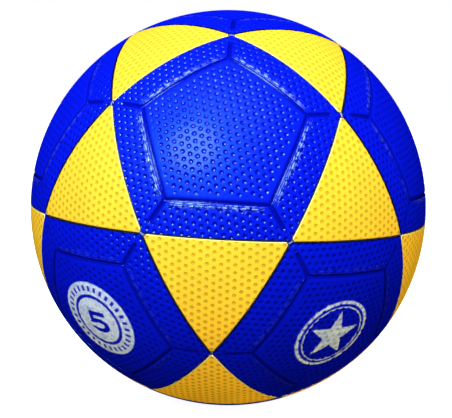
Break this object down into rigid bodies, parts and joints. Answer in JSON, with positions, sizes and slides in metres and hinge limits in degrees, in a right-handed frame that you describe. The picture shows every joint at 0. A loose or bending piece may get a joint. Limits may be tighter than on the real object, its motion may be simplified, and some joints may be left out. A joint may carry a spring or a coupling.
{
  "type": "korfball",
  "caption": "Laminated korfball: grooved blue pentagon panels and yellow triangle panels over a wound carcass, with bladder and valve.",
  "frame": {"origin": "centre of the ball", "axes": "+Z out through the valve in the middle of one pentagon panel; -Y towards the middle of the side of the ball where a pentagon panel of the upper ring faces"},
  "size_m": [0.22, 0.2196, 0.2198],
  "materials": {
    "blue_cover_rubber": "semi-gloss dimpled moulded rubber",
    "yellow_cover_rubber": "semi-gloss dimpled moulded rubber",
    "carcass_rubber": "matte vulcanised rubber",
    "nylon_thread": "wound thread",
    "butyl_rubber": "matte butyl rubber",
    "valve_rubber": "satin moulded rubber",
    "valve_core_rubber": "satin soft rubber"
  },
  "bodies": {
    "root": {"pentagon_panel_01": "blue_cover_rubber", "pentagon_panel_02": "blue_cover_rubber", "pentagon_panel_03": "blue_cover_rubber", "pentagon_panel_04": "blue_cover_rubber", "pentagon_panel_05": "blue_cover_rubber", "pentagon_panel_06": "blue_cover_rubber", "pentagon_panel_07": "blue_cover_rubber", "pentagon_panel_08": "blue_cover_rubber", "pentagon_panel_09": "blue_cover_rubber", "pentagon_panel_10": "blue_cover_rubber", "pentagon_panel_11": "blue_cover_rubber", "pentagon_panel_12": "blue_cover_rubber", "triangle_panel_01": "yellow_cover_rubber", "triangle_panel_02": "yellow_cover_rubber", "triangle_panel_03": "yellow_cover_rubber", "triangle_panel_04": "yellow_cover_rubber", "triangle_panel_05": "yellow_cover_rubber", "triangle_panel_06": "yellow_cover_rubber", "triangle_panel_07": "yellow_cover_rubber", "triangle_panel_08": "yellow_cover_rubber", "triangle_panel_09": "yellow_cover_rubber", "triangle_panel_10": "yellow_cover_rubber", "triangle_panel_11": "yellow_cover_rubber", "triangle_panel_12": "yellow_cover_rubber", "triangle_panel_13": "yellow_cover_rubber", "triangle_panel_14": "yellow_cover_rubber", "triangle_panel_15": "yellow_cover_rubber", "triangle_panel_16": "yellow_cover_rubber", "triangle_panel_17": "yellow_cover_rubber", "triangle_panel_18": "yellow_cover_rubber", "triangle_panel_19": "yellow_cover_rubber", "triangle_panel_20": "yellow_cover_rubber", "rubber_carcass": "carcass_rubber", "thread_winding": "nylon_thread", "valve_patch": "butyl_rubber", "bladder": "butyl_rubber", "valve_body": "valve_rubber", "valve_core": "valve_core_rubber"}
  },
  "joints": []
}
